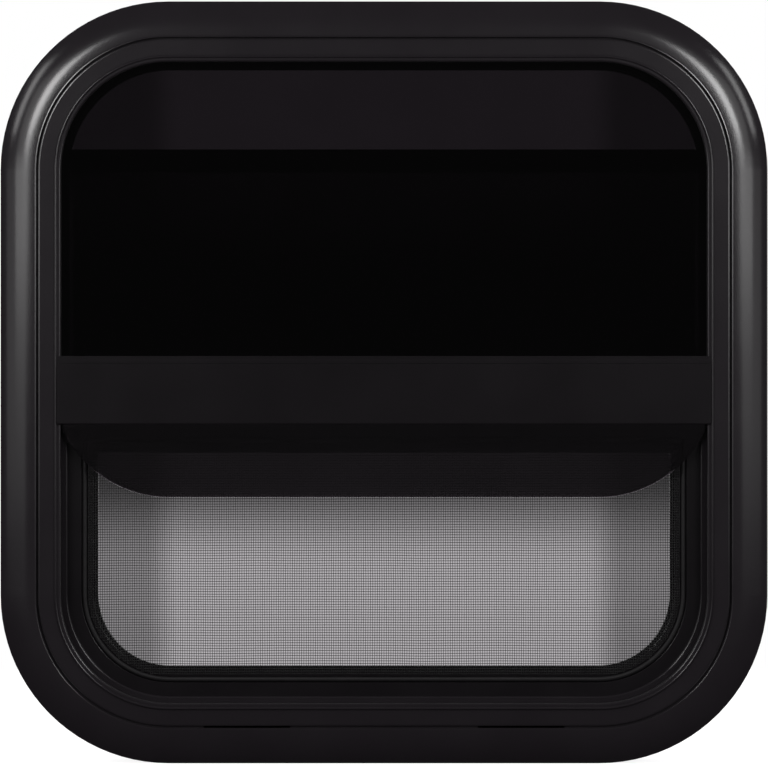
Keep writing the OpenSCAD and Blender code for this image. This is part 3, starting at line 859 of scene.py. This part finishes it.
# The clamp ring is a second extrusion in the same coat. Its screws, with broad pan heads and a
# cross recess, pull it against the wall from inside.
ring_bevel = 0.0003
ring_head_radius = 0.0039
ring_head_rise = 0.0019
ring_head_skirt = 0.0003
ring_shank_radius = 0.00195
ring_recess = 1.6

rounded("clamp_ring", ring_bevel, powder_coat)
screw_low, screw_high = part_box("clamp_screws")
head_seat = screw_high.y - ring_head_rise
clamp_screw = cross_screw(
    "clamp_screw", ring_head_radius, ring_head_rise, ring_head_skirt, ring_recess,
    (ring_shank_radius, head_seat - screw_low.y))
ring_screws = repeat(
    "ring_screws", clamp_screw,
    [((low.x + high.x) / 2, head_seat, (low.z + high.z) / 2)
     for low, high in island_boxes("clamp_screws")],
    zinc, "steel_zinc", turn=math.pi, seed=2)
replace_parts(ring_screws, "clamp_screws")


# Stage: a pale floor under the window, lifted to full white at its rim and kept a little greyer
# near the window's foot as a painted contact shadow, and far behind it a grey card that shows only
# through the screen and the glass. The card glows with painted light and shade, as the window's
# shadow on a backdrop: bright at its top, dim in its middle, bright again at its foot and darker at
# its sides.
floor_z = cad_box[0][2]
floor_reach = 0.80
floor_grey = 0.3
foot_half = 0.12
foot_reach = 0.15
foot_shade_glow = 0.88
mirrored_from = (0.03, 0.08)
card_y = 4.0
card_half = 0.50
card_low = -0.55
card_high = 0.54
card_level = 0.475
card_tint = (1.0, 0.96, 1.0, 1)
card_shade_level = 0.09
card_fade = (-0.290, -0.158)
card_top = 0.90
card_rise = (0.15, 0.34)
card_side_fade = (0.325, 0.385)
card_side_shade_level = 0.53


class StageFinish(Nodes):
    """A grey surface whose glow lamps don't see, and which mirrors in front of the window see
    black, a painted dark reflection.
    """

    def __init__(self, name, grey, tint=(1, 1, 1, 1)):
        self.material = bpy.data.materials.new(name)
        self.material.use_nodes = True
        super().__init__(self.material.node_tree)
        self.nodes.clear()
        split = self.nodes.new("ShaderNodeSeparateXYZ")
        self.links.new(self.nodes.new("ShaderNodeTexCoord").outputs["Object"], split.inputs[0])
        self.x, self.y, self.z = split.outputs
        path = self.nodes.new("ShaderNodeLightPath")
        mirrored = self.math(
            "MULTIPLY", path.outputs["Is Glossy Ray"], self.fade(self.y, *mirrored_from, 0.0, 1.0))
        seen = self.math("MAXIMUM", path.outputs["Is Camera Ray"], mirrored)
        seen = self.math("MAXIMUM", seen, path.outputs["Is Transmission Ray"])
        diffuse = self.nodes.new("ShaderNodeBsdfDiffuse")
        unseen = self.math("SUBTRACT", path.outputs["Is Glossy Ray"], mirrored)
        self.links.new(
            self.math("MULTIPLY", self.math("SUBTRACT", 1.0, unseen), grey),
            diffuse.inputs["Color"])
        self.glow = self.nodes.new("ShaderNodeEmission")
        self.glow.inputs["Color"].default_value = tint
        add = self.nodes.new("ShaderNodeAddShader")
        mix = self.nodes.new("ShaderNodeMixShader")
        out = self.nodes.new("ShaderNodeOutputMaterial")
        self.links.new(diffuse.outputs[0], add.inputs[0])
        self.links.new(self.glow.outputs[0], add.inputs[1])
        self.links.new(seen, mix.inputs["Fac"])
        self.links.new(diffuse.outputs[0], mix.inputs[1])
        self.links.new(add.outputs[0], mix.inputs[2])
        self.links.new(mix.outputs[0], out.inputs["Surface"])

    def fade(self, source, start, end, low, high):
        return self.range(source, low, high, start, end, "SMOOTHSTEP")

    def set_glow(self, strength):
        self.links.new(strength, self.glow.inputs["Strength"])


def stage_plane(name, corners, finish):
    mesh = bpy.data.meshes.new(name)
    mesh.from_pydata(corners, [], [tuple(range(len(corners)))])
    mesh.materials.append(finish.material)
    plane = bpy.data.objects.new(name, mesh)
    bpy.context.scene.collection.objects.link(plane)


floor_white = StageFinish("floor_white", floor_grey)
beside = floor_white.math("MAXIMUM", floor_white.math(
    "SUBTRACT", floor_white.math("ABSOLUTE", floor_white.x), foot_half), 0.0)
from_foot = floor_white.math("SQRT", floor_white.math(
    "ADD", floor_white.math("POWER", beside, 2.0), floor_white.math("POWER", floor_white.y, 2.0)))
# Painted contact shadow: the floor's glow is lower near the window's foot.
floor_white.set_glow(floor_white.fade(from_foot, 0.0, foot_reach, foot_shade_glow, 1.0))
stage_plane("floor", [
    (-floor_reach, -floor_reach, floor_z), (floor_reach, -floor_reach, floor_z),
    (floor_reach, floor_reach, floor_z), (-floor_reach, floor_reach, floor_z)], floor_white)

card_grey = StageFinish("card_grey", 0.0, card_tint)
# Painted light and shade: the card's glow, dim in its middle and darker at its sides.
painted_card_light = card_grey.math(
    "MAXIMUM", card_grey.fade(card_grey.z, *card_fade, card_level, card_shade_level),
    card_grey.fade(card_grey.z, *card_rise, 0.0, card_top))
from_middle = card_grey.math("ABSOLUTE", card_grey.x)
card_grey.set_glow(card_grey.math(
    "MULTIPLY", painted_card_light, card_grey.fade(from_middle, *card_side_fade, 1.0, card_side_shade_level)))
stage_plane("card", [
    (-card_half, card_y, card_low), (card_half, card_y, card_low),
    (card_half, card_y, card_high), (-card_half, card_y, card_high)], card_grey)


# Light: on each side a bright square soft box a little above the camera, a low wide strip and a
# broad weak glow beside it, a soft wing and a tall panel higher and farther out, and an even room
# that mirrors see dark in front of the window. Each lamp has its degrees round from the middle
# and up, its width and height in metres, and its watts.
lamp_distance = 1.8
lamps = (
    ("key", 23.4, 16.5, 0.32, 0.37, 5.4),
    ("strip", 31.5, 6.3, 0.80, 0.20, 1.42),
    ("glow", 43, 2.0, 1.20, 0.38, 1.05),
    ("wing", 36.5, 19.5, 0.40, 0.50, 0.80),
    ("high", 54, 26, 0.24, 0.65, 2.2))
room_level = 0.60
mirror_level = 0.030
mirror_rise = 0.5


def soft_box(name, azimuth, elevation, width, height, power):
    data = bpy.data.lights.new(name, "AREA")
    data.shape = "RECTANGLE"
    data.size = width
    data.size_y = height
    data.energy = power
    lamp = bpy.data.objects.new(name, data)
    across, up = math.radians(azimuth), math.radians(elevation)
    lamp.location = lamp_distance * Vector((
        math.sin(across) * math.cos(up), -math.cos(across) * math.cos(up), math.sin(up)))
    lamp.rotation_euler = (-lamp.location).to_track_quat("-Z", "Y").to_euler()
    bpy.context.scene.collection.objects.link(lamp)


for side in (-1, 1):
    for name, azimuth, elevation, width, height, power in lamps:
        soft_box(f"{name}_{side}", side * azimuth, elevation, width, height, power)

world = bpy.data.worlds.new("world")
bpy.context.scene.world = world
world.use_nodes = True
room = Nodes(world.node_tree)
path = room.nodes.new("ShaderNodeLightPath")
straight = room.math(
    "MAXIMUM", path.outputs["Is Camera Ray"], path.outputs["Is Transmission Ray"])
split = room.nodes.new("ShaderNodeSeparateXYZ")
room.links.new(room.nodes.new("ShaderNodeTexCoord").outputs["Generated"], split.inputs[0])
behind = room.range(split.outputs[1], mirror_level, 1.0, 0.0, mirror_rise)
indirect = room.mix(path.outputs["Is Glossy Ray"], room_level, behind, "FLOAT")
background = room.nodes["Background"]
room.links.new(room.mix(straight, indirect, 1.0, "FLOAT"), background.inputs["Strength"])
background.inputs["Color"].default_value = (1, 1, 1, 1)

bpy.context.scene.view_settings.view_transform = "Standard"
